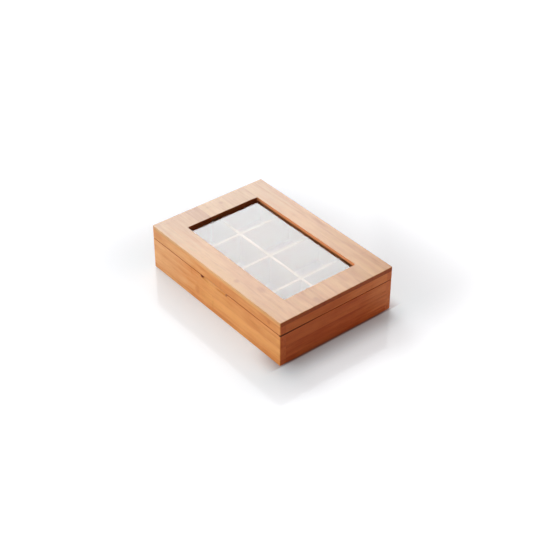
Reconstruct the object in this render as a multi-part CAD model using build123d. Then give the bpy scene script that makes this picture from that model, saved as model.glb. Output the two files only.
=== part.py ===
from build123d import *

import os
from math import atan2, degrees

# Bamboo tea box: a base with eight compartments and a hinged lid with a clear window.
# Millimetres. X runs along the front, the front faces -Y and Z is up. The origin is the
# middle of the underside, so the box stands on Z = 0 and the seam is at Z = BASE_HEIGHT.

# ---- Whole box ----
LENGTH = 300.0  # outside, along X
DEPTH = 206.0  # outside, along Y
BASE_HEIGHT = 53.0  # underside to seam
LID_HEIGHT = 22.0  # seam to top face
WALL = 10.0  # thickness of every wall and lid rail
EDGE_ROUND = 1.5  # outer edges, so the seam shows as a small groove
TOP_EDGE_ROUND = 0.7  # outer edges of the lid's top face
INNER_EASE = 0.5  # inner edges of the rims

# ---- Glued joints between boards ----
TONGUE_LENGTH = 4.0  # stub tongue on each end of a side wall
TONGUE_THICKNESS = 4.0
BASE_TONGUE_SETBACK = 6.0  # from the tongue to the rim and to the bottom board
LID_TONGUE_SETBACK = 4.0
GLUE_GAP = 0.1  # on each side of a board or tongue in its groove

# ---- Bottom board ----
BOTTOM_THICKNESS = 4.0
BOTTOM_RAISE = 3.0  # its underside above the table
BOTTOM_GROOVE = 4.0  # how far it enters the walls

# ---- Divider grid ----
CROSS_DIVIDERS = ("left", "middle", "right")
DIVIDER_THICKNESS = 4.5
DIVIDER_RISE = 3.5  # tops above the seam
DIVIDER_CORNER = 3.0  # rounded upper corners
DIVIDER_EASE = 0.4  # long upper edges
DIVIDER_SHOULDER = 1.0  # ends stop this far below the rim
RAIL_CLEARANCE = 1.0  # from a divider's raised part to the lid rails
HOUSING_DEPTH = 2.0  # vertical grooves in the walls
LAP_GAP = 0.05  # on each side of a halving joint

# ---- Lid window ----
TOP_THICKNESS = 7.0  # board around the window
WINDOW_MARGIN = 37.5  # from each outer face to the opening
WINDOW_CORNER = 2.5  # rounded corners of the opening
WINDOW_EASE = 0.5  # upper edge of the opening
REBATE_WIDTH = 5.0  # ledge that holds the pane
PANE_THICKNESS = 1.6
PANE_SINK = 0.2  # underside of the pane above the underside of the board
PANE_GAP = 0.3  # around the pane

# ---- Finger notch in the front rim ----
NOTCH_LENGTH = 62.0  # at the rim
NOTCH_HEIGHT = 4.5
NOTCH_DEPTH = 4.5
NOTCH_END_RADIUS = 2.0  # of the rounded ends, at the foot of the bevel

# ---- Hinges ----
HINGE_FROM_END = 60.0  # hinge middle to the end face of the box
HINGE_LENGTH = 25.0
HINGE_INSET = 0.8  # axis in front of the back face
LEAF_WIDTH = 8.0
LEAF_THICKNESS = 0.9
LEAF_GAP = 0.15  # between the closed leaves
LEAF_SIDE_GAP = 0.15  # around a leaf in its mortise
KNUCKLE_RADIUS = 2.0
KNUCKLE_END_GAP = 0.15  # between neighbouring knuckles
KNUCKLE_LEAF_GAP = 0.25  # from a knuckle to the other leaf
KNUCKLE_WOOD_GAP = 0.3  # from a knuckle to the wood
PIN_RADIUS = 1.0
PIN_RUNNING_FIT = 0.05  # radial
PIN_CHAMFER = 0.25

# ---- Hinge screws ----
SCREW_SPACING = 14.0
SCREW_FROM_AXIS = 5.0
SCREW_LENGTH = 10.0
SCREW_RADIUS = 1.0
SCREW_HEAD_RADIUS = 1.75
SCREW_HEAD_HEIGHT = 0.75
SCREW_TIP = 1.5
SCREW_FIT = 0.05  # radial
DRIVE_LENGTH = 2.2  # crossed slots in the head
DRIVE_WIDTH = 0.45
DRIVE_DEPTH = 0.45

# ---- Places worked out from the sizes ----
TOTAL_HEIGHT = BASE_HEIGHT + LID_HEIGHT
INNER_LENGTH = LENGTH - 2 * WALL
INNER_DEPTH = DEPTH - 2 * WALL
BOTTOM_TOP = BOTTOM_RAISE + BOTTOM_THICKNESS
TOP_UNDERSIDE = TOTAL_HEIGHT - TOP_THICKNESS
DIVIDER_TOP = BASE_HEIGHT + DIVIDER_RISE
LAP_HEIGHT = (BOTTOM_TOP + DIVIDER_TOP) / 2
CROSS_PITCH = (INNER_LENGTH + DIVIDER_THICKNESS) / (len(CROSS_DIVIDERS) + 1)
AXIS_Y = DEPTH / 2 - HINGE_INSET
SEAM = Plane.XY.offset(BASE_HEIGHT)
HINGE_X = {"left": HINGE_FROM_END - LENGTH / 2, "right": LENGTH / 2 - HINGE_FROM_END}
KNUCKLE_LENGTH = (HINGE_LENGTH - 2 * KNUCKLE_END_GAP) / 3
KNUCKLE_PITCH = KNUCKLE_LENGTH + KNUCKLE_END_GAP
BASE_KNUCKLES = (-KNUCKLE_PITCH, KNUCKLE_PITCH)
LID_KNUCKLES = (0.0,)


def block(x, y, z):
    """A box between two values along each axis."""
    size = [high - low for low, high in (x, y, z)]
    middle = [(high + low) / 2 for low, high in (x, y, z)]
    return Pos(*middle) * Box(*size)


def both(half):
    """A span of half a length each side of zero."""
    return (-half, half)


def rod_x(radius, length, middle_x=0.0):
    """A cylinder along the hinge axis."""
    return Pos(middle_x, AXIS_Y, BASE_HEIGHT) * Rot(0, 90, 0) * Cylinder(radius, length)


# ---- Walls of the base and rails of the lid ----
def wall_ring(low, high, open_end):
    """Four walls in one ring, rounded outside, with the rim at open_end eased inside."""
    outer = fillet(block(both(LENGTH / 2), both(DEPTH / 2), (low, high)).edges(), EDGE_ROUND)
    ring = outer - block(both(INNER_LENGTH / 2), both(INNER_DEPTH / 2), (low, high))
    slack = INNER_EASE / 2
    rim = ring.edges().filter_by_position(Axis.Z, open_end - slack, open_end + slack)
    inside = [e for e in rim if is_inner(e.center())]
    return fillet(inside, INNER_EASE)


def is_inner(point):
    """Whether a point lies on the inner faces of the walls."""
    slack = EDGE_ROUND / 2
    return abs(point.X) < INNER_LENGTH / 2 + slack and abs(point.Y) < INNER_DEPTH / 2 + slack


def tongues(side, low, high, gap=0.0):
    """The stub tongues at both ends of the side wall at side = -1 or 1."""
    middle = side * (LENGTH - WALL) / 2
    half = TONGUE_THICKNESS / 2 + gap
    reach = INNER_DEPTH / 2 + TONGUE_LENGTH - GLUE_GAP + gap
    x = (middle - half, middle + half)
    return block(x, both(reach), (low - gap, high + gap))


def four_walls(ring, low, high, tongue_low, tongue_high):
    """Front and back at full length, sides between them with tongues let into them."""
    z = (low, high)
    front = ring & block(both(LENGTH / 2), (-DEPTH / 2, -INNER_DEPTH / 2), z)
    back = ring & block(both(LENGTH / 2), (INNER_DEPTH / 2, DEPTH / 2), z)
    walls = {}
    for name, side in (("left", -1), ("right", 1)):
        grooves = tongues(side, tongue_low, tongue_high, GLUE_GAP)
        front -= grooves
        back -= grooves
        x = sorted((side * INNER_LENGTH / 2, side * LENGTH / 2))
        wall = ring & block(x, both(INNER_DEPTH / 2), z)
        walls[name] = wall + tongues(side, tongue_low, tongue_high)
    walls["front"] = front
    walls["back"] = back
    return walls


def bottom_board(gap):
    """The bottom board less its gap, or its groove for a gap of zero."""
    half_x = INNER_LENGTH / 2 + BOTTOM_GROOVE - gap
    half_y = INNER_DEPTH / 2 + BOTTOM_GROOVE - gap
    return block(both(half_x), both(half_y), (BOTTOM_RAISE, BOTTOM_TOP))


def finger_notch():
    """A bevel in the middle of the front rim, with ends rounded as a conical cutter leaves them."""
    front = -DEPTH / 2
    foot = BASE_HEIGHT - NOTCH_HEIGHT
    middle_y = front - NOTCH_END_RADIUS
    rim_radius = NOTCH_END_RADIUS + NOTCH_DEPTH
    end_overhang = (rim_radius**2 - NOTCH_END_RADIUS**2) ** 0.5
    half = NOTCH_LENGTH / 2 - end_overhang
    section = Plane.YZ * Polygon(
        (middle_y, foot),
        (front, foot),
        (front + NOTCH_DEPTH, BASE_HEIGHT),
        (middle_y, BASE_HEIGHT),
        align=None,
    )
    cut = extrude(section, half, both=True)
    for side in (-1, 1):
        middle_z = foot + NOTCH_HEIGHT / 2
        cut += Pos(side * half, middle_y, middle_z) * Cone(NOTCH_END_RADIUS, rim_radius, NOTCH_HEIGHT)
    return cut


# ---- Divider grid ----
def divider(inner_length):
    """A divider along X: ends in the housings, upper part clear of the lid rails."""
    y = both(DIVIDER_THICKNESS / 2)
    lower_reach = inner_length / 2 + HOUSING_DEPTH - GLUE_GAP
    upper_reach = inner_length / 2 - RAIL_CLEARANCE
    shoulder = BASE_HEIGHT - DIVIDER_SHOULDER
    upper = block(both(upper_reach), y, (BOTTOM_TOP, DIVIDER_TOP))
    corners = upper.edges().filter_by(Axis.Y).group_by(Axis.Z)[-1]
    upper = fillet(corners, DIVIDER_CORNER)
    top_edges = upper.faces().sort_by(Axis.Z)[-1].edges().filter_by(Axis.X)
    upper = fillet(top_edges, DIVIDER_EASE)
    return upper + block(both(lower_reach), y, (BOTTOM_TOP, shoulder))


def housing(inner_length):
    """The pair of wall grooves for one divider along X, open at the rim."""
    reach = inner_length / 2 + HOUSING_DEPTH
    return block(both(reach), both(DIVIDER_THICKNESS / 2 + GLUE_GAP), (BOTTOM_TOP, BASE_HEIGHT))


def lap_slot(middle_x, low, high):
    """The slot of a halving joint in a divider along X."""
    half = DIVIDER_THICKNESS / 2 + LAP_GAP
    x = (middle_x - half, middle_x + half)
    return block(x, both(DIVIDER_THICKNESS), (low, high))


def divider_grid():
    """The long divider, the cross dividers and all their housings."""
    first = -CROSS_PITCH * (len(CROSS_DIVIDERS) - 1) / 2
    long_divider = divider(INNER_LENGTH)
    housings = [housing(INNER_LENGTH)]
    pieces = {}
    for index, name in enumerate(CROSS_DIVIDERS):
        x = first + index * CROSS_PITCH
        turned = Pos(x, 0, 0) * Rot(0, 0, 90)
        long_divider -= lap_slot(x, LAP_HEIGHT, DIVIDER_TOP)
        cross = divider(INNER_DEPTH) - lap_slot(0.0, BOTTOM_TOP, LAP_HEIGHT)
        pieces[f"cross_divider_{name}"] = turned * cross
        housings.append(turned * housing(INNER_DEPTH))
    pieces["long_divider"] = long_divider
    return pieces, housings


# ---- Lid window ----
def window_opening(spread, low, high):
    """The window opening made wider by spread on every side."""
    half_x = LENGTH / 2 - WINDOW_MARGIN + spread
    half_y = DEPTH / 2 - WINDOW_MARGIN + spread
    return block(both(half_x), both(half_y), (low, high))


def top_board():
    """The board on top of the lid, with the window opening and the ledge for its pane."""
    z = (TOP_UNDERSIDE, TOTAL_HEIGHT)
    lid = block(both(LENGTH / 2), both(DEPTH / 2), (BASE_HEIGHT, TOTAL_HEIGHT))
    lid = fillet(lid.edges().filter_by(Axis.Z), EDGE_ROUND)
    lid = fillet(lid.edges().group_by(Axis.Z)[-1], TOP_EDGE_ROUND)
    board = lid & block(both(LENGTH / 2), both(DEPTH / 2), z)
    opening = window_opening(0.0, *z)
    board -= fillet(opening.edges().filter_by(Axis.Z), WINDOW_CORNER)
    upper = board.edges().group_by(Axis.Z)[-1]
    reach_x = LENGTH / 2 - WINDOW_MARGIN + WINDOW_EASE
    reach_y = DEPTH / 2 - WINDOW_MARGIN + WINDOW_EASE
    around = [e for e in upper if abs(e.center().X) < reach_x and abs(e.center().Y) < reach_y]
    board = fillet(around, WINDOW_EASE)
    return board - window_opening(REBATE_WIDTH, TOP_UNDERSIDE, ledge_height())


def ledge_height():
    """The face of the ledge, which the pane is glued to."""
    return TOP_UNDERSIDE + PANE_SINK + PANE_THICKNESS


def window_pane():
    """The clear pane on its ledge."""
    return window_opening(REBATE_WIDTH - PANE_GAP, ledge_height() - PANE_THICKNESS, ledge_height())


# ---- Hinges, drawn for the base side; the lid side is mirrored in the seam ----
def hinge_leaf(own_knuckles, other_knuckles):
    """One leaf in the middle of the box, with its knuckles on the axis."""
    leaf_top = BASE_HEIGHT - LEAF_GAP / 2
    y = (AXIS_Y - LEAF_WIDTH, AXIS_Y)
    leaf = block(both(HINGE_LENGTH / 2), y, (leaf_top - LEAF_THICKNESS, leaf_top))
    for middle in other_knuckles:
        cut_length = KNUCKLE_LENGTH + 2 * KNUCKLE_END_GAP
        leaf -= rod_x(KNUCKLE_RADIUS + KNUCKLE_LEAF_GAP, cut_length, middle)
    for middle in own_knuckles:
        leaf += rod_x(KNUCKLE_RADIUS, KNUCKLE_LENGTH, middle)
    leaf -= rod_x(PIN_RADIUS + PIN_RUNNING_FIT, HINGE_LENGTH)
    for hole in screw_places():
        leaf -= hole * screw_body(SCREW_FIT)
    return leaf


def hinge_mortise():
    """The space that one leaf and the knuckles take out of the wood."""
    half = HINGE_LENGTH / 2 + LEAF_SIDE_GAP
    y = (AXIS_Y - LEAF_WIDTH - LEAF_SIDE_GAP, DEPTH / 2)
    low = BASE_HEIGHT - LEAF_GAP / 2 - LEAF_THICKNESS
    recess = block(both(half), y, (low, BASE_HEIGHT))
    mortise = recess + rod_x(KNUCKLE_RADIUS + KNUCKLE_WOOD_GAP, 2 * half)
    for hole in screw_places():
        mortise += hole * screw_body(SCREW_FIT)
    return mortise


def hinge_pin():
    """The pin through all three knuckles."""
    pin = Cylinder(PIN_RADIUS, HINGE_LENGTH)
    pin = chamfer(pin.edges().filter_by(GeomType.CIRCLE), PIN_CHAMFER)
    return Pos(0, AXIS_Y, BASE_HEIGHT) * Rot(0, 90, 0) * pin


def screw_places():
    """The two screw heads of a leaf, flush with its face."""
    y = AXIS_Y - SCREW_FROM_AXIS
    z = BASE_HEIGHT - LEAF_GAP / 2
    return [Pos(side * SCREW_SPACING / 2, y, z) for side in (-1, 1)]


def screw_body(gap=0.0):
    """A countersunk wood screw without its drive, or its hole for a gap, pointing down."""
    r = SCREW_RADIUS + gap
    head = SCREW_HEAD_RADIUS + gap
    length = SCREW_LENGTH + gap
    profile = Plane.XZ * Polygon(
        (0, 0),
        (head, 0),
        (r, -SCREW_HEAD_HEIGHT),
        (r, SCREW_TIP - length),
        (0, -length),
        align=None,
    )
    return revolve(profile, Axis.Z)


def screw():
    """A countersunk wood screw with crossed slots."""
    body = screw_body()
    depth = (-DRIVE_DEPTH, DRIVE_DEPTH)
    for turn in (0, 90):
        body -= Rot(0, 0, turn) * block(both(DRIVE_LENGTH / 2), both(DRIVE_WIDTH / 2), depth)
    return body


# ---- Assembly ----
def base_pieces():
    """Walls, bottom board and dividers of the base."""
    ring = wall_ring(0.0, BASE_HEIGHT, BASE_HEIGHT)
    tongue_low = BOTTOM_TOP + BASE_TONGUE_SETBACK
    tongue_high = BASE_HEIGHT - BASE_TONGUE_SETBACK
    walls = four_walls(ring, 0.0, BASE_HEIGHT, tongue_low, tongue_high)
    grid, housings = divider_grid()
    cuts = [bottom_board(0.0), *housings]
    for name in walls:
        for cut in cuts:
            walls[name] -= cut
    walls["front"] -= finger_notch()
    for x in HINGE_X.values():
        walls["back"] -= Pos(x, 0, 0) * hinge_mortise()
    pieces = {f"base_{name}_panel": wall for name, wall in walls.items()}
    pieces["base_bottom_panel"] = bottom_board(GLUE_GAP)
    return pieces | grid


def lid_pieces():
    """Rails, top board and pane of the lid."""
    ring = wall_ring(BASE_HEIGHT, TOTAL_HEIGHT, BASE_HEIGHT)
    tongue_low = BASE_HEIGHT + LID_TONGUE_SETBACK
    tongue_high = TOP_UNDERSIDE - LID_TONGUE_SETBACK
    rails = four_walls(ring, BASE_HEIGHT, TOP_UNDERSIDE, tongue_low, tongue_high)
    for x in HINGE_X.values():
        rails["back"] -= mirror(Pos(x, 0, 0) * hinge_mortise(), about=SEAM)
    pieces = {f"lid_{name}_rail": rail for name, rail in rails.items()}
    pieces["lid_top_panel"] = top_board()
    pieces["window_pane"] = window_pane()
    return pieces


def hinge_pieces():
    """Leaves and pins of both hinges, and the screws of each side as a group."""
    pieces = {}
    screws = []
    for name, x in HINGE_X.items():
        place = Pos(x, 0, 0)
        lid_leaf = mirror(hinge_leaf(LID_KNUCKLES, BASE_KNUCKLES), about=SEAM)
        pieces[f"{name}_hinge_base_leaf"] = place * hinge_leaf(BASE_KNUCKLES, LID_KNUCKLES)
        pieces[f"{name}_hinge_lid_leaf"] = place * lid_leaf
        pieces[f"{name}_hinge_pin"] = place * hinge_pin()
        screws += [place * hole * screw() for hole in screw_places()]
    pieces["base_hinge_screws"] = Compound(children=screws)
    pieces["lid_hinge_screws"] = Compound(children=[mirror(s, about=SEAM) for s in screws])
    return pieces


def lid_stop_angle():
    """The angle at which the rounded back edges of lid and base meet."""
    edge = degrees(atan2(EDGE_ROUND, EDGE_ROUND - HINGE_INSET))
    return 2 * (180 - 2 * edge)


os.makedirs("parts", exist_ok=True)
for node, shape in (base_pieces() | lid_pieces() | hinge_pieces()).items():
    export_step(shape, f"parts/{node}.step")
print(f"the lid stops at {lid_stop_angle():.2f} degrees")
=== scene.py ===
"""Looks of the bamboo tea box: materials, studio floor, lamps and the photograph's camera."""

from math import pi, radians

import bpy
from mathutils import Matrix, Vector

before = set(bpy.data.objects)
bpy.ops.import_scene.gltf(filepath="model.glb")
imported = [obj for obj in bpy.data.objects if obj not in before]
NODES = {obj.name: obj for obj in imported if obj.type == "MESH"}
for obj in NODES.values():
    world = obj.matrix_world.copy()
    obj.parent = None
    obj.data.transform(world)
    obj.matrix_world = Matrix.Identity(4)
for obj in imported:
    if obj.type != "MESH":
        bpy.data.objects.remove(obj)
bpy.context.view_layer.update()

# ---- Sizes of the box, in metres ----
HALF_LENGTH = 0.150
HALF_DEPTH = 0.103
SEAM = 0.053
TOTAL_HEIGHT = 0.075

# ---- Camera, found by fitting the box's corners in the photograph ----
CAMERA_PLACE = (1.1618, -0.9366, 1.1300)
CAMERA_YAW = 50.835  # degrees, turned from +Y towards -X
CAMERA_PITCH = 36.599  # degrees, looking down
CAMERA_ROLL = 0.165
CAMERA_LENS = 82.35  # millimetres on a 36 mm sensor

# ---- Lamps: direction from the box, distance, width, height, radiance, colour ----
LAMPS = {
    "window_light": ((-0.761, 0.279, 0.585), 5.0, 4.0, 3.0, 4.42, (1.0, 1.0, 1.0)),
    "front_light": ((-0.30, -0.95, 0.10), 2.4, 1.6, 0.5, 16.2, (1.0, 1.0, 1.0)),
    "top_light": ((0.60, -0.35, 1.0), 0.9, 0.9, 0.9, 0.55, (1.0, 0.98, 0.95)),
    "right_fill": ((0.60, 0.80, 0.0), 0.65, 0.8, 0.07, 4.5, (1.0, 0.74, 0.58)),
}
DULL_LAMP = "right_fill"  # shows in no gloss
AMBIENT = 0.15

# ---- Floor ----
FLOOR_HALF = 8.0
FLOOR_COLOUR = (0.675, 0.70, 0.725, 1)
FLOOR_ROUGHNESS = 0.10
FLOOR_SPECULAR = 0.12
FLOOR_HEIGHT = -0.0001  # a hair below the box
FRONT_GLOW = 0.405  # what the camera sees besides the lamps' light, in front of the box
BACK_GLOW = 0.26  # the same, behind the box
BACKDROP_GLOW = 1.0  # the same, far from the box
FRONT_FAR = 0.36  # from the box to where the floor has turned into the backdrop
BACK_FAR = 0.37  # the same, behind the box
NEAR_TINT = (0.93, 0.98, 1.0, 1)  # of the glow, beside the box
FAR_TINT = (1.0, 0.985, 1.0, 1)
GLOW_TURN = (-0.14, 0.20)  # from front to back, as Y less X
TINT_TURN = (0.01, 0.10)  # from NEAR_TINT to FAR_TINT, away from the box
RIGHT_STRETCH = 1.6  # on the right it turns sooner
SHADE_REACH = 0.045  # the glow fades out towards the side away from the lamps
SHADE_DEPTH = 0.85
SHADE_START = 0.06  # before the right end of the box
SHADE_END = 0.03  # each side of its near and far corner
# Painted contact shadow on the floor along the right wall, tinted like the wall's reflection.
CONTACT_SHADOW_REACH = 0.0035  # a thin dark line on the floor along the same side
CONTACT_SHADOW_COLOUR = (0.36, 0.19, 0.16, 1)


class Nodes:
    """Adds nodes to a tree. A value is a number, a colour, a vector or another node's output."""

    def __init__(self, tree):
        self.tree = tree
        self.tree.nodes.clear()

    def put(self, socket, value):
        if isinstance(value, bpy.types.NodeSocket):
            self.tree.links.new(value, socket)
        else:
            socket.default_value = value

    def add(self, kind, values=None, **settings):
        node = self.tree.nodes.new(kind)
        for name, value in settings.items():
            setattr(node, name, value)
        for key, value in (values or {}).items():
            self.put(node.inputs[key], value)
        return node

    def math(self, operation, *values):
        node = self.add("ShaderNodeMath", dict(enumerate(values)), operation=operation)
        return node.outputs[0]

    def total(self, *values):
        result = values[0]
        for value in values[1:]:
            result = self.math("ADD", result, value)
        return result

    def product(self, *values):
        result = values[0]
        for value in values[1:]:
            result = self.math("MULTIPLY", result, value)
        return result

    def vector(self, operation, *values):
        node = self.add("ShaderNodeVectorMath", dict(enumerate(values)), operation=operation)
        return node.outputs[0]

    def smooth(self, value, low, high, start=0.0, end=1.0):
        """A smooth step from start at low to end at high."""
        values = {0: value, 1: low, 2: high, 3: start, 4: end}
        return self.add("ShaderNodeMapRange", values, interpolation_type="SMOOTHSTEP").outputs[0]

    def noise(self, vector, scale, detail, roughness):
        values = {"Vector": vector, "Scale": scale, "Detail": detail, "Roughness": roughness}
        return self.add("ShaderNodeTexNoise", values).outputs[0]

    def random(self, value, seed):
        """A number and a colour between 0 and 1 that jump with the whole number value."""
        shifted = self.math("ADD", value, seed)
        node = self.add("ShaderNodeTexWhiteNoise", {"W": shifted}, noise_dimensions="1D")
        return node.outputs["Value"], node.outputs["Color"]

    def mix(self, factor, a, b):
        """Colour a where the factor is 0, colour b where it is 1."""
        return self.add("ShaderNodeMix", {0: factor, 6: a, 7: b}, data_type="RGBA").outputs[2]

    def scaled(self, colour, amount):
        """A colour times a number."""
        node = self.add("ShaderNodeVectorMath", {0: colour, "Scale": amount}, operation="SCALE")
        return node.outputs[0]

    def bump(self, height, distance):
        """A normal for a surface that rises by the distance where the height is 1."""
        values = {"Height": height, "Distance": distance, "Strength": 1.0}
        return self.add("ShaderNodeBump", values).outputs[0]

    def seen(self):
        """1 for what the camera sees directly, in gloss or through glass, 0 for light on surfaces."""
        path = self.add("ShaderNodeLightPath").outputs
        clear = self.math("MAXIMUM", path["Is Glossy Ray"], path["Is Transmission Ray"])
        clear = self.math("MAXIMUM", clear, path["Is Camera Ray"])
        return self.product(clear, self.math("LESS_THAN", path["Diffuse Depth"], 0.5))

    def surface(self, shader):
        output = self.add("ShaderNodeOutputMaterial")
        self.tree.links.new(shader.outputs[0], output.inputs["Surface"])


def new_material(name):
    material = bpy.data.materials.new(name)
    material.use_nodes = True
    return material, Nodes(material.node_tree)


def place(along, across, through, grain, stack):
    """Three values put on the X, Y and Z axes: along the grain, across the strips, through them."""
    rest = ({"X", "Y", "Z"} - {grain, stack}).pop()
    by_axis = {grain: along, stack: across, rest: through}
    return tuple(by_axis[axis] for axis in "XYZ")


# ---- Bamboo ----
STRIP_WIDTH = 0.022
GLUE_LINE = 0.00012
NODE_SPACING = 0.24  # between the rings of the cane, along a strip
NODE_HALF = 0.0030
SEAM_ROUND = 0.0015  # radius of the edges at the seam
SEAM_DARK = 0.0010  # each side of the seam
# Painted shade, with some dust, in the groove at the seam; near-black painted shade at the right
# side's near corner.
SEAM_SHADE_AND_DUST = (0.32, 0.04, 0.003, 1)
CORNER_SHADE = (0.01, 0.001, 0.0, 1)  # on the right side, at the near corner
CORNER_WIDER = 0.8  # share added to SEAM_DARK there
WINDOW_HALF = (0.1125, 0.0655)  # half length and depth of the opening in the lid's board
WINDOW_EDGE = 0.0749  # its sawn walls lie below this
# Redder tone of the sawn walls, lifted in brightness as painted light.
SAWN_TONE_AND_LIGHT = (1.38, 0.97, 1.12)  # factors on the tone
LEFT_END = (0.88, 0.78, 0.70)  # factors on end grain that doesn't look right
# Painted highlight: the lid board's front and back faces grow paler towards their top edge.
BOARD_LOW = (1.00, 0.91, 0.80, 1)  # factors on the lid board's front and back faces, low down
BOARD_TOP_HIGHLIGHT = (0.95, 1.05, 1.40, 1)  # the same at its top edge
BOARD_RISE = (0.067, 0.074)  # from low to high
WOOD_BUMP = 0.00006
WOOD_COAT_ROUGHNESS = 0.22


def face_distances(n, axes, box):
    """The smallest and the second smallest distance to the faces of the box."""
    depth = []
    for axis, low, high in zip("XYZ", *box):
        off = n.math("ABSOLUTE", n.math("SUBTRACT", axes[axis], (low + high) / 2))
        depth.append(n.math("SUBTRACT", (high - low) / 2, off))
    least = n.math("MINIMUM", depth[0], depth[1])
    most = n.math("MAXIMUM", depth[0], depth[1])
    second = n.math("MAXIMUM", least, n.math("MINIMUM", most, depth[2]))
    return least, second


def seam_groove(n, axes, least):
    """Painted shade, with some dust, in the narrow groove where lid and base meet, on the rounded
    edges only.

    On the right side it grows wider towards the near corner. The second result is 1 there.
    """
    from_seam = n.math("ABSOLUTE", n.math("SUBTRACT", axes["Z"], SEAM))
    rounded = n.smooth(least, SEAM_ROUND * 0.8, SEAM_ROUND * 0.95, 1.0, 0.0)
    near_corner = n.product(
        n.smooth(axes["X"], HALF_LENGTH - 0.003, HALF_LENGTH - 0.002),
        n.smooth(axes["Y"], -HALF_DEPTH, 0.0, 1.0, 0.0),
    )
    width = n.math("MULTIPLY_ADD", near_corner, SEAM_DARK * CORNER_WIDER, SEAM_DARK)
    dark = n.smooth(from_seam, n.product(width, 0.4), width, 1.0, 0.0)
    return n.product(dark, rounded), near_corner


def window_walls(n, axes, is_end):
    """The sawn walls of the window, without their end grain."""
    sawn = n.smooth(axes["Z"], WINDOW_EDGE - 0.0004, WINDOW_EDGE, 1.0, 0.0)
    for axis, opening in zip("XY", WINDOW_HALF):
        off = n.math("ABSOLUTE", axes[axis])
        sawn = n.product(sawn, n.smooth(off, opening + 0.0002, opening + 0.0006, 1.0, 0.0))
    return n.product(sawn, n.math("SUBTRACT", 1.0, is_end))


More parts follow.
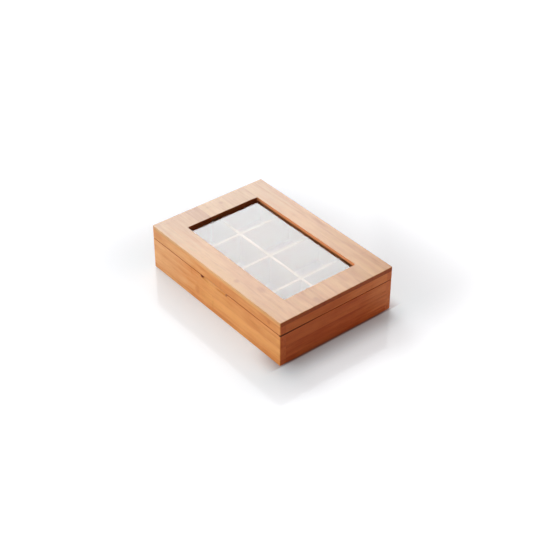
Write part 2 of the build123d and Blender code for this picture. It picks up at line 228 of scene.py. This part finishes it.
def bamboo(name, grain, stack, first_joint, finish, seed, box, marks=()):
    """Laminated bamboo: strips along the grain, stacked along another axis from first_joint."""
    tone, shaded_right_tone, gloss, polish, contrast = finish
    material, n = new_material(name)
    texture = n.add("ShaderNodeTexCoord")
    position = texture.outputs["Object"]
    normal = texture.outputs["Normal"]
    axes = dict(zip("XYZ", n.add("ShaderNodeSeparateXYZ", {0: position}).outputs))
    facing = dict(zip("XYZ", n.add("ShaderNodeSeparateXYZ", {0: normal}).outputs))

    # Strips, each with its own tone and its own piece of the fibre pattern.
    shifted = n.math("SUBTRACT", axes[stack], first_joint)
    count = n.math("DIVIDE", shifted, STRIP_WIDTH)
    strip = n.math("FLOOR", count)
    inside = n.math("FRACT", count)
    strip_tone, strip_colour = n.random(strip, seed)
    strip_turn, _ = n.random(strip, seed + 50.5)
    offset = n.scaled(strip_colour, 9.0)
    own_place = n.vector("ADD", position, offset)

    # Fibres run the length of a strip, from broad clouds down to single bundles.
    def fibres(along, across, detail):
        stretch = place(along, across, across, grain, stack)
        return n.noise(n.vector("MULTIPLY", own_place, stretch), 1.0, detail, 0.6)

    clouds = fibres(7.0, 26.0, 2.0)
    hues = fibres(12.0, 60.0, 2.0)
    mottles = fibres(26.0, 110.0, 2.0)
    streaks = fibres(5.0, 190.0, 3.0)
    fine = fibres(22.0, 900.0, 2.0)
    bundles = fibres(70.0, 2300.0, 1.0)
    dashes = n.smooth(bundles, 0.60, 0.70)

    # Rings of the cane, one here and there along each strip.
    wander = n.math("MULTIPLY", n.math("SUBTRACT", mottles, 0.5), 0.012)
    along = n.math("ADD", axes[grain], wander)
    turns = n.math("ADD", n.math("DIVIDE", along, NODE_SPACING), n.math("MULTIPLY", strip_turn, 7.0))
    from_ring = n.math("ABSOLUTE", n.math("SUBTRACT", n.math("FRACT", turns), 0.5))
    ring_distance = n.math("MULTIPLY", from_ring, NODE_SPACING)
    ring = n.smooth(ring_distance, 0.0002, NODE_HALF, 1.0, 0.0)
    ring = n.product(ring, n.smooth(mottles, 0.38, 0.60))
    halo = n.smooth(ring_distance, 0.0, NODE_HALF * 6, 1.0, 0.0)
    halo = n.product(halo, n.smooth(hues, 0.35, 0.60))

    # Joints between strips.
    half_line = GLUE_LINE / STRIP_WIDTH
    edge = n.math("MINIMUM", inside, n.math("SUBTRACT", 1.0, inside))
    glue = n.smooth(edge, half_line * 0.4, half_line * 1.6, 1.0, 0.0)

    # End grain shows the bundles as dots.
    is_end = n.smooth(n.math("ABSOLUTE", facing[grain]), 0.55, 0.85)
    # Faces that look towards +X, which get painted shade below.
    shaded_right_faces = n.smooth(facing["X"], 0.5, 0.9)
    dots = n.smooth(n.noise(own_place, 1500.0, 2.0, 0.6), 0.5, 0.62)

    # Softened outer edges, and painted shade with some dust in the groove at the seam.
    least, second = face_distances(n, axes, box)
    worn = n.product(n.smooth(second, 0.0003, 0.0022, 1.0, 0.0), n.smooth(clouds, 0.35, 0.6))
    groove, near_corner = seam_groove(n, axes, least)

    # Colour.
    def shade(red, green, blue):
        """The tone times three factors, at most white."""
        return [min(1.0, part * factor) for part, factor in zip(tone, (red, green, blue))] + [1]

    light = shade(1.10, 1.10, 1.10)
    dark = shade(1 - 0.16 * contrast, 1 - 0.32 * contrast, 1 - 0.50 * contrast)
    ruddy = shade(0.96, 0.80, 0.68)
    golden = shade(1.04, 1.06, 0.92)
    brown = shade(0.48, 0.30, 0.20)
    blend = n.total(
        n.product(n.math("SUBTRACT", strip_tone, 0.5), 0.56),
        n.product(n.math("SUBTRACT", clouds, 0.5), 0.9),
        n.product(n.math("SUBTRACT", mottles, 0.5), 0.9),
        n.product(n.math("SUBTRACT", streaks, 0.5), 1.1),
        n.product(n.math("SUBTRACT", fine, 0.5), 0.35),
        0.43,
    )
    colour = n.mix(n.smooth(blend, 0.0, 1.0), light, dark)
    colour = n.mix(n.product(n.smooth(hues, 0.48, 0.68), 0.55), colour, ruddy)
    colour = n.mix(n.product(n.smooth(hues, 0.50, 0.32), 0.50), colour, golden)
    colour = n.mix(n.product(dashes, 0.30), colour, brown)
    colour = n.mix(n.product(halo, 0.40), colour, ruddy)
    colour = n.mix(n.product(ring, 0.15), colour, brown)
    uneven = n.product(n.math("SUBTRACT", n.total(streaks, mottles), 1.0), 1.2)
    for centre, half_size, factors, strength in marks:
        away = n.vector("DIVIDE", n.vector("SUBTRACT", position, centre), half_size)
        reach = n.add("ShaderNodeVectorMath", {0: away}, operation="LENGTH").outputs["Value"]
        spot = n.smooth(n.total(reach, uneven), 0.45, 1.25, strength, 0.0)
        colour = n.mix(spot, colour, n.vector("MULTIPLY", colour, factors))
    colour = n.mix(n.product(glue, 0.40), colour, brown)
    colour = n.mix(n.product(is_end, dots, 0.20), colour, brown)
    other_end = n.product(is_end, n.math("SUBTRACT", 1.0, shaded_right_faces))
    colour = n.mix(other_end, colour, n.vector("MULTIPLY", colour, LEFT_END))
    # Faces that look towards +X take the darker, redder right tone: painted shade of the side away
    # from the lamps.
    right_shade_factors = [part / whole for part, whole in zip(shaded_right_tone, tone)]
    colour = n.mix(shaded_right_faces, colour, n.vector("MULTIPLY", colour, right_shade_factors))
    colour = n.mix(n.product(worn, 0.10), colour, light)
    if name == "bamboo_lid_top_panel":
        # Front and back faces: like the rails below, paler towards the top edge, a painted highlight.
        cut = n.smooth(n.math("ABSOLUTE", facing["Y"]), 0.55, 0.85)
        rising = n.smooth(axes["Z"], *BOARD_RISE)
        factors = n.mix(rising, BOARD_LOW, BOARD_TOP_HIGHLIGHT)
        colour = n.mix(cut, colour, n.vector("MULTIPLY", colour, factors))
        # The window's sawn walls are redder than the lacquered faces, and brighter, partly a painted
        # light.
        sawn = window_walls(n, axes, is_end)
        colour = n.mix(n.product(sawn, 0.8), colour, shade(*SAWN_TONE_AND_LIGHT))
    # Painted shade in the seam's groove, near-black towards the right side's near corner.
    groove_shade_colour = n.mix(near_corner, SEAM_SHADE_AND_DUST, CORNER_SHADE)
    colour = n.mix(n.product(groove, 0.90), colour, groove_shade_colour)

    # Satin lacquer over the fibres.
    rough = n.total(
        0.33,
        n.product(n.math("SUBTRACT", streaks, 0.5), 0.16),
        n.product(dashes, 0.08),
        n.product(ring, 0.10),
        n.product(is_end, 0.14),
        n.product(worn, 0.06),
        n.product(groove, 0.40),
    )
    height = n.total(
        n.product(fine, 0.5),
        n.product(streaks, 0.8),
        n.product(dashes, -0.5),
        n.product(glue, -0.7),
        n.product(ring, 0.5),
        n.product(is_end, dots, -0.7),
    )
    values = {
        "Base Color": colour,
        "Roughness": rough,
        "Normal": n.bump(height, WOOD_BUMP),
        "Specular IOR Level": gloss,
        "Coat Weight": n.smooth(facing["Z"], 0.4, 0.8, 0.0, polish),
        "Coat Roughness": WOOD_COAT_ROUGHNESS,
    }
    n.surface(n.add("ShaderNodeBsdfPrincipled", values))
    return material


def dress(node, material):
    """Gives every material slot of a CAD node the same material."""
    data = NODES[node].data
    if not data.materials:
        data.materials.append(material)
    for index in range(len(data.materials)):
        data.materials[index] = material


# Finishes: colour (linear), colour of faces that look right (painted shade of the side away from the
# lamps), specular level, coat, contrast.
TOP_FINISH = ((0.70, 0.348, 0.119), (0.40, 0.083, 0.011), 0.20, 0.78, 1.5)
FRONT_FINISH = ((0.705, 0.312, 0.092), (0.66, 0.155, 0.035), 0.25, 0.0, 1.35)
SIDE_FINISH = ((0.70, 0.305, 0.088), (0.64, 0.148, 0.033), 0.15, 0.0, 1.9)
LID_SIDE_FINISH = ((0.70, 0.305, 0.088), (0.69, 0.178, 0.042), 0.15, 0.0, 1.5)
DIVIDER_FINISH = ((0.64, 0.33, 0.130), (0.61, 0.30, 0.115), 0.3, 0.0, 1.0)
# Darker than the walls: painted shade on the compartment floors.
BOTTOM_SHADED_FINISH = ((0.30, 0.145, 0.055), (0.30, 0.145, 0.055), 0.3, 0.0, 1.0)

BASE_BOX = ((-HALF_LENGTH, -HALF_DEPTH, 0.0), (HALF_LENGTH, HALF_DEPTH, SEAM))
LID_BOX = ((-HALF_LENGTH, -HALF_DEPTH, SEAM), (HALF_LENGTH, HALF_DEPTH, TOTAL_HEIGHT))

# Node: grain axis, stacking axis, first joint, finish, seed, box whose edges are softened.
BOARDS = {
    "base_front_panel": ("X", "Z", 0.009, FRONT_FINISH, 345, BASE_BOX),
    "base_back_panel": ("X", "Z", 0.009, FRONT_FINISH, 322, BASE_BOX),
    "base_left_panel": ("Y", "Z", 0.009, SIDE_FINISH, 206, BASE_BOX),
    "base_right_panel": ("Y", "Z", 0.009, SIDE_FINISH, 78, BASE_BOX),
    "base_bottom_panel": ("X", "Y", 0.0, BOTTOM_SHADED_FINISH, 47, BASE_BOX),
    "long_divider": ("X", "Z", 0.013, DIVIDER_FINISH, 58, BASE_BOX),
    "cross_divider_left": ("Y", "Z", 0.013, DIVIDER_FINISH, 69, BASE_BOX),
    "cross_divider_middle": ("Y", "Z", 0.013, DIVIDER_FINISH, 71, BASE_BOX),
    "cross_divider_right": ("Y", "Z", 0.013, DIVIDER_FINISH, 83, BASE_BOX),
    "lid_front_rail": ("X", "Z", 0.053, FRONT_FINISH, 127, LID_BOX),
    "lid_back_rail": ("X", "Z", 0.053, FRONT_FINISH, 29, LID_BOX),
    "lid_left_rail": ("Y", "Z", 0.053, LID_SIDE_FINISH, 47, LID_BOX),
    "lid_right_rail": ("Y", "Z", 0.053, LID_SIDE_FINISH, 22, LID_BOX),
    "lid_top_panel": ("X", "Y", 0.0, TOP_FINISH, 198, LID_BOX),
}

# Factors on the colour, for knots and for paler or darker places that the photograph shows.
KNOT = (0.74, 0.50, 0.36)
# Painted shade at the two ends of the finger notch and along the lid's edge above it.
POCKET_SHADE = (0.25, 0.05, 0.01)  # the two dark ends of the finger notch
# Painted highlight on the notch's bevel.
BEVEL_HIGHLIGHT = (1.25, 1.45, 2.00)  # between them
# Painted sheen at the left end of the front.
PALE_SHEEN = (1.00, 1.19, 1.74)  # left end of the front
# Painted sheen at the left end of the top.
WASHED_SHEEN = (0.88, 0.97, 1.10)  # left end of the top
# Painted sheen and bounce light on the far half of the right side.
FADED_SHEEN = (1.08, 1.25, 1.40)  # far half of the right side
# The same painted sheen, stronger, at its far end.
FAR_END_SHEEN = (1.12, 1.30, 1.60)  # its far end
# The same painted sheen on the right end grain of the back boards.
BACK_END_SHEEN = (1.20, 1.60, 2.20)  # end grain of the back boards
SHADED = (0.68, 0.66, 0.90)  # foot of the right side

# Node: centre, half size, factors and strength of each mark.
MARKS = {
    "lid_top_panel": (
        ((0.038, -0.090, TOTAL_HEIGHT), (0.006, 0.004, 0.02), KNOT, 0.55),
        ((0.075, -0.076, TOTAL_HEIGHT), (0.008, 0.005, 0.02), KNOT, 0.42),
        ((0.141, -0.031, TOTAL_HEIGHT), (0.008, 0.005, 0.02), KNOT, 0.60),
        ((0.124, 0.030, TOTAL_HEIGHT), (0.012, 0.007, 0.02), KNOT, 0.25),
        ((-0.135, 0.013, TOTAL_HEIGHT), (0.005, 0.004, 0.02), KNOT, 0.50),
        # Painted sheen at the left end of the top.
        ((-HALF_LENGTH, 0.000, TOTAL_HEIGHT), (0.090, 0.200, 0.200), WASHED_SHEEN, 0.90),
    ),
    "lid_front_rail": (
        ((0.118, -HALF_DEPTH, 0.066), (0.018, 0.02, 0.006), KNOT, 0.40),
        ((0.125, -HALF_DEPTH, 0.062), (0.004, 0.02, 0.004), KNOT, 0.50),
        ((-0.136, -HALF_DEPTH, 0.063), (0.010, 0.02, 0.007), KNOT, 0.30),
        # Painted sheen at the left end.
        ((-0.140, -HALF_DEPTH, 0.064), (0.090, 0.02, 0.060), PALE_SHEEN, 0.80),
        # Painted shade line along the lid's edge over the notch.
        ((0.000, -HALF_DEPTH, 0.0536), (0.034, 0.02, 0.0009), POCKET_SHADE, 0.90),
    ),
    "base_front_panel": (
        ((-0.040, -HALF_DEPTH, 0.021), (0.006, 0.02, 0.010), KNOT, 0.40),
        # Painted sheen at the left end.
        ((-0.140, -HALF_DEPTH, 0.030), (0.090, 0.02, 0.060), PALE_SHEEN, 0.80),
        # Painted highlight on the notch's bevel.
        ((0.0000, -0.101, 0.0510), (0.0320, 0.01, 0.0026), BEVEL_HIGHLIGHT, 0.90),
        # Painted shade at the two ends of the notch.
        ((-0.0280, -0.102, 0.0510), (0.0036, 0.01, 0.0026), POCKET_SHADE, 0.95),
        ((0.0295, -0.102, 0.0508), (0.0032, 0.01, 0.0018), POCKET_SHADE, 0.70),
    ),
    "lid_right_rail": (
        # Painted sheen towards the far end.
        ((HALF_LENGTH, 0.105, 0.065), (0.02, 0.110, 0.060), FADED_SHEEN, 0.90),
        ((HALF_LENGTH, 0.105, 0.065), (0.02, 0.042, 0.060), FAR_END_SHEEN, 0.80),
    ),
    "base_right_panel": (
        # Painted sheen towards the far end.
        ((HALF_LENGTH, 0.105, 0.030), (0.02, 0.070, 0.060), FADED_SHEEN, 0.90),
        ((HALF_LENGTH, 0.105, 0.040), (0.02, 0.042, 0.045), FAR_END_SHEEN, 0.70),
        ((HALF_LENGTH, 0.010, 0.000), (0.02, 0.120, 0.006), SHADED, 0.85),
    ),
    # Painted sheen on the right end grain.
    "lid_back_rail": (((HALF_LENGTH, 0.098, 0.065), (0.005, 0.042, 0.060), BACK_END_SHEEN, 0.80),),
    "base_back_panel": (((HALF_LENGTH, 0.098, 0.040), (0.005, 0.042, 0.045), BACK_END_SHEEN, 0.80),),
}

for node, (grain, stack, first_joint, finish, seed, box) in BOARDS.items():
    marks = MARKS.get(node, ())
    material = bamboo("bamboo_" + node, grain, stack, first_joint, finish, seed, box, marks)
    dress(node, material)


# ---- Clear pane ----
def clear_pane():
    """A clear pane with the faintest haze and smears in its gloss."""
    material, n = new_material("clear_pane")
    position = n.add("ShaderNodeTexCoord").outputs["Object"]
    haze = n.noise(position, 14.0, 3.0, 0.5)
    smears = n.noise(n.vector("MULTIPLY", position, (30.0, 90.0, 30.0)), 1.0, 2.0, 0.6)
    rough = n.total(n.product(haze, 0.004), n.product(n.smooth(smears, 0.55, 0.8), 0.006))
    values = {
        "Base Color": n.mix(haze, (0.97, 0.98, 0.98, 1), (0.99, 0.99, 0.99, 1)),
        "Roughness": rough,
        "IOR": 1.52,
        "Transmission Weight": 1.0,
    }
    n.surface(n.add("ShaderNodeBsdfPrincipled", values))
    return material


# ---- Brass ----
BRASS_BUMP = 0.00002


def brass(name, tone, brushed):
    """Lacquered brass, brushed along the stretch directions."""
    material, n = new_material(name)
    position = n.add("ShaderNodeTexCoord").outputs["Object"]
    lines = n.noise(n.vector("MULTIPLY", position, brushed), 1.0, 3.0, 0.6)
    patina = n.noise(position, 160.0, 3.0, 0.6)
    specks = n.smooth(n.noise(position, 1400.0, 1.0, 0.5), 0.66, 0.74)
    dull = [tone[0] * 0.62, tone[1] * 0.52, tone[2] * 0.42, 1]
    bright = [min(1.0, part * 1.12) for part in tone] + [1]
    colour = n.mix(n.smooth(patina, 0.45, 0.75), bright, dull)
    colour = n.mix(n.product(n.smooth(lines, 0.4, 0.7), 0.35), colour, dull)
    colour = n.mix(n.product(specks, 0.5), colour, dull)
    rough = n.total(0.20, n.product(lines, 0.16), n.product(patina, 0.12), n.product(specks, 0.2))
    height = n.total(lines, n.product(specks, -1.0))
    values = {
        "Base Color": colour,
        "Metallic": 1.0,
        "Roughness": rough,
        "Normal": n.bump(height, BRASS_BUMP),
    }
    n.surface(n.add("ShaderNodeBsdfPrincipled", values))
    return material


dress("window_pane", clear_pane())
LEAF_BRASS = brass("hinge_brass", (0.80, 0.58, 0.27), (150.0, 5000.0, 5000.0))
PIN_BRASS = brass("hinge_pin_brass", (0.74, 0.55, 0.29), (3000.0, 400.0, 400.0))
SCREW_BRASS = brass("screw_brass", (0.82, 0.60, 0.28), (900.0, 900.0, 900.0))
for side in ("left", "right"):
    dress(side + "_hinge_base_leaf", LEAF_BRASS)
    dress(side + "_hinge_lid_leaf", LEAF_BRASS)
    dress(side + "_hinge_pin", PIN_BRASS)
for group in ("base_hinge_screws", "lid_hinge_screws"):
    dress(group, SCREW_BRASS)


# ---- Studio ----
def make_floor():
    """A glossy white table that turns into a white backdrop away from the box. Its glow is a painted
    light level: lower beside the box than far off, lower behind than in front, and fading out along
    the right side as a painted shadow, with a painted dark contact line at the wall.
    """
    corners = [(-1, -1), (1, -1), (1, 1), (-1, 1)]
    mesh = bpy.data.meshes.new("floor")
    points = [(x * FLOOR_HALF, y * FLOOR_HALF, FLOOR_HEIGHT) for x, y in corners]
    mesh.from_pydata(points, [], [(0, 1, 2, 3)])
    floor = bpy.data.objects.new("floor", mesh)
    bpy.context.scene.collection.objects.link(floor)
    material, n = new_material("white_table")
    position = n.add("ShaderNodeTexCoord").outputs["Object"]
    x, y, _ = n.add("ShaderNodeSeparateXYZ", {0: position}).outputs
    right_x = n.product(n.math("SUBTRACT", x, HALF_LENGTH), RIGHT_STRETCH)
    left_x = n.math("SUBTRACT", n.product(x, -1.0), HALF_LENGTH)
    outside_x = n.math("MAXIMUM", n.math("MAXIMUM", right_x, left_x), 0.0)
    outside_y = n.math("MAXIMUM", n.math("SUBTRACT", n.math("ABSOLUTE", y), HALF_DEPTH), 0.0)
    away = n.math("SQRT", n.total(n.product(outside_x, outside_x), n.product(outside_y, outside_y)))
    backward = n.math("SUBTRACT", y, x)
    beside_box = n.smooth(backward, *GLOW_TURN, FRONT_GLOW, BACK_GLOW)
    reach = n.smooth(backward, *GLOW_TURN, FRONT_FAR, BACK_FAR)
    glow = n.smooth(away, 0.0, reach, beside_box, BACKDROP_GLOW)
    on_right = n.smooth(x, HALF_LENGTH - SHADE_START, HALF_LENGTH)
    from_wall = n.math("SUBTRACT", x, HALF_LENGTH)
    beside = n.smooth(from_wall, 0.0, SHADE_REACH, SHADE_DEPTH, 0.0)
    ends = (HALF_DEPTH - SHADE_END, HALF_DEPTH + SHADE_END)
    along = n.smooth(n.math("ABSOLUTE", y), *ends, 1.0, 0.0)
    shade = n.math("SUBTRACT", 1.0, n.product(on_right, beside, along))
    contact_shadow = n.product(on_right, n.smooth(from_wall, 0.0, CONTACT_SHADOW_REACH, 1.0, 0.0), along)
    strength = n.product(n.seen(), glow, shade, n.math("SUBTRACT", 1.0, contact_shadow))
    values = {
        "Base Color": n.mix(contact_shadow, FLOOR_COLOUR, CONTACT_SHADOW_COLOUR),
        "Roughness": FLOOR_ROUGHNESS,
        "Specular IOR Level": FLOOR_SPECULAR,
        "Emission Color": n.mix(n.smooth(away, *TINT_TURN), NEAR_TINT, FAR_TINT),
        "Emission Strength": strength,
    }
    n.surface(n.add("ShaderNodeBsdfPrincipled", values))
    mesh.materials.append(material)


def make_world():
    """White to the camera and in gloss and glass, dim as a light."""
    world = bpy.data.worlds.new("studio")
    world.use_nodes = True
    n = Nodes(world.node_tree)
    strength = n.math("MULTIPLY_ADD", n.seen(), 1.0 - AMBIENT, AMBIENT)
    background = n.add("ShaderNodeBackground", {"Color": (1, 1, 1, 1), "Strength": strength})
    output = n.add("ShaderNodeOutputWorld")
    n.tree.links.new(background.outputs[0], output.inputs["Surface"])
    bpy.context.scene.world = world


def make_lamps():
    """Large soft lamps, aimed at the middle of the box."""
    target = Vector((0, 0, TOTAL_HEIGHT / 2))
    for name, (direction, distance, width, height, radiance, colour) in LAMPS.items():
        data = bpy.data.lights.new(name, "AREA")
        data.shape = "RECTANGLE"
        data.size = width
        data.size_y = height
        data.energy = radiance * pi * width * height
        data.color = colour
        lamp = bpy.data.objects.new(name, data)
        bpy.context.scene.collection.objects.link(lamp)
        away = Vector(direction).normalized()
        lamp.location = target + away * distance
        lamp.rotation_mode = "QUATERNION"
        lamp.rotation_quaternion = (-away).to_track_quat("-Z", "Y")
        lamp.visible_camera = False
        lamp.visible_glossy = name != DULL_LAMP


def make_camera():
    """The photograph's viewpoint."""
    data = bpy.data.cameras.new("camera")
    data.sensor_width = 36
    data.lens = CAMERA_LENS
    data.clip_start = 0.05
    data.clip_end = 50
    camera = bpy.data.objects.new("camera", data)
    bpy.context.scene.collection.objects.link(camera)
    turn = Matrix.Rotation(radians(CAMERA_YAW), 4, "Z")
    tilt = Matrix.Rotation(pi / 2 - radians(CAMERA_PITCH), 4, "X")
    roll = Matrix.Rotation(radians(CAMERA_ROLL), 4, "Z")
    camera.matrix_world = Matrix.Translation(CAMERA_PLACE) @ turn @ tilt @ roll
    bpy.context.scene.camera = camera


make_floor()
make_world()
make_lamps()
make_camera()
bpy.context.scene.view_settings.view_transform = "Standard"
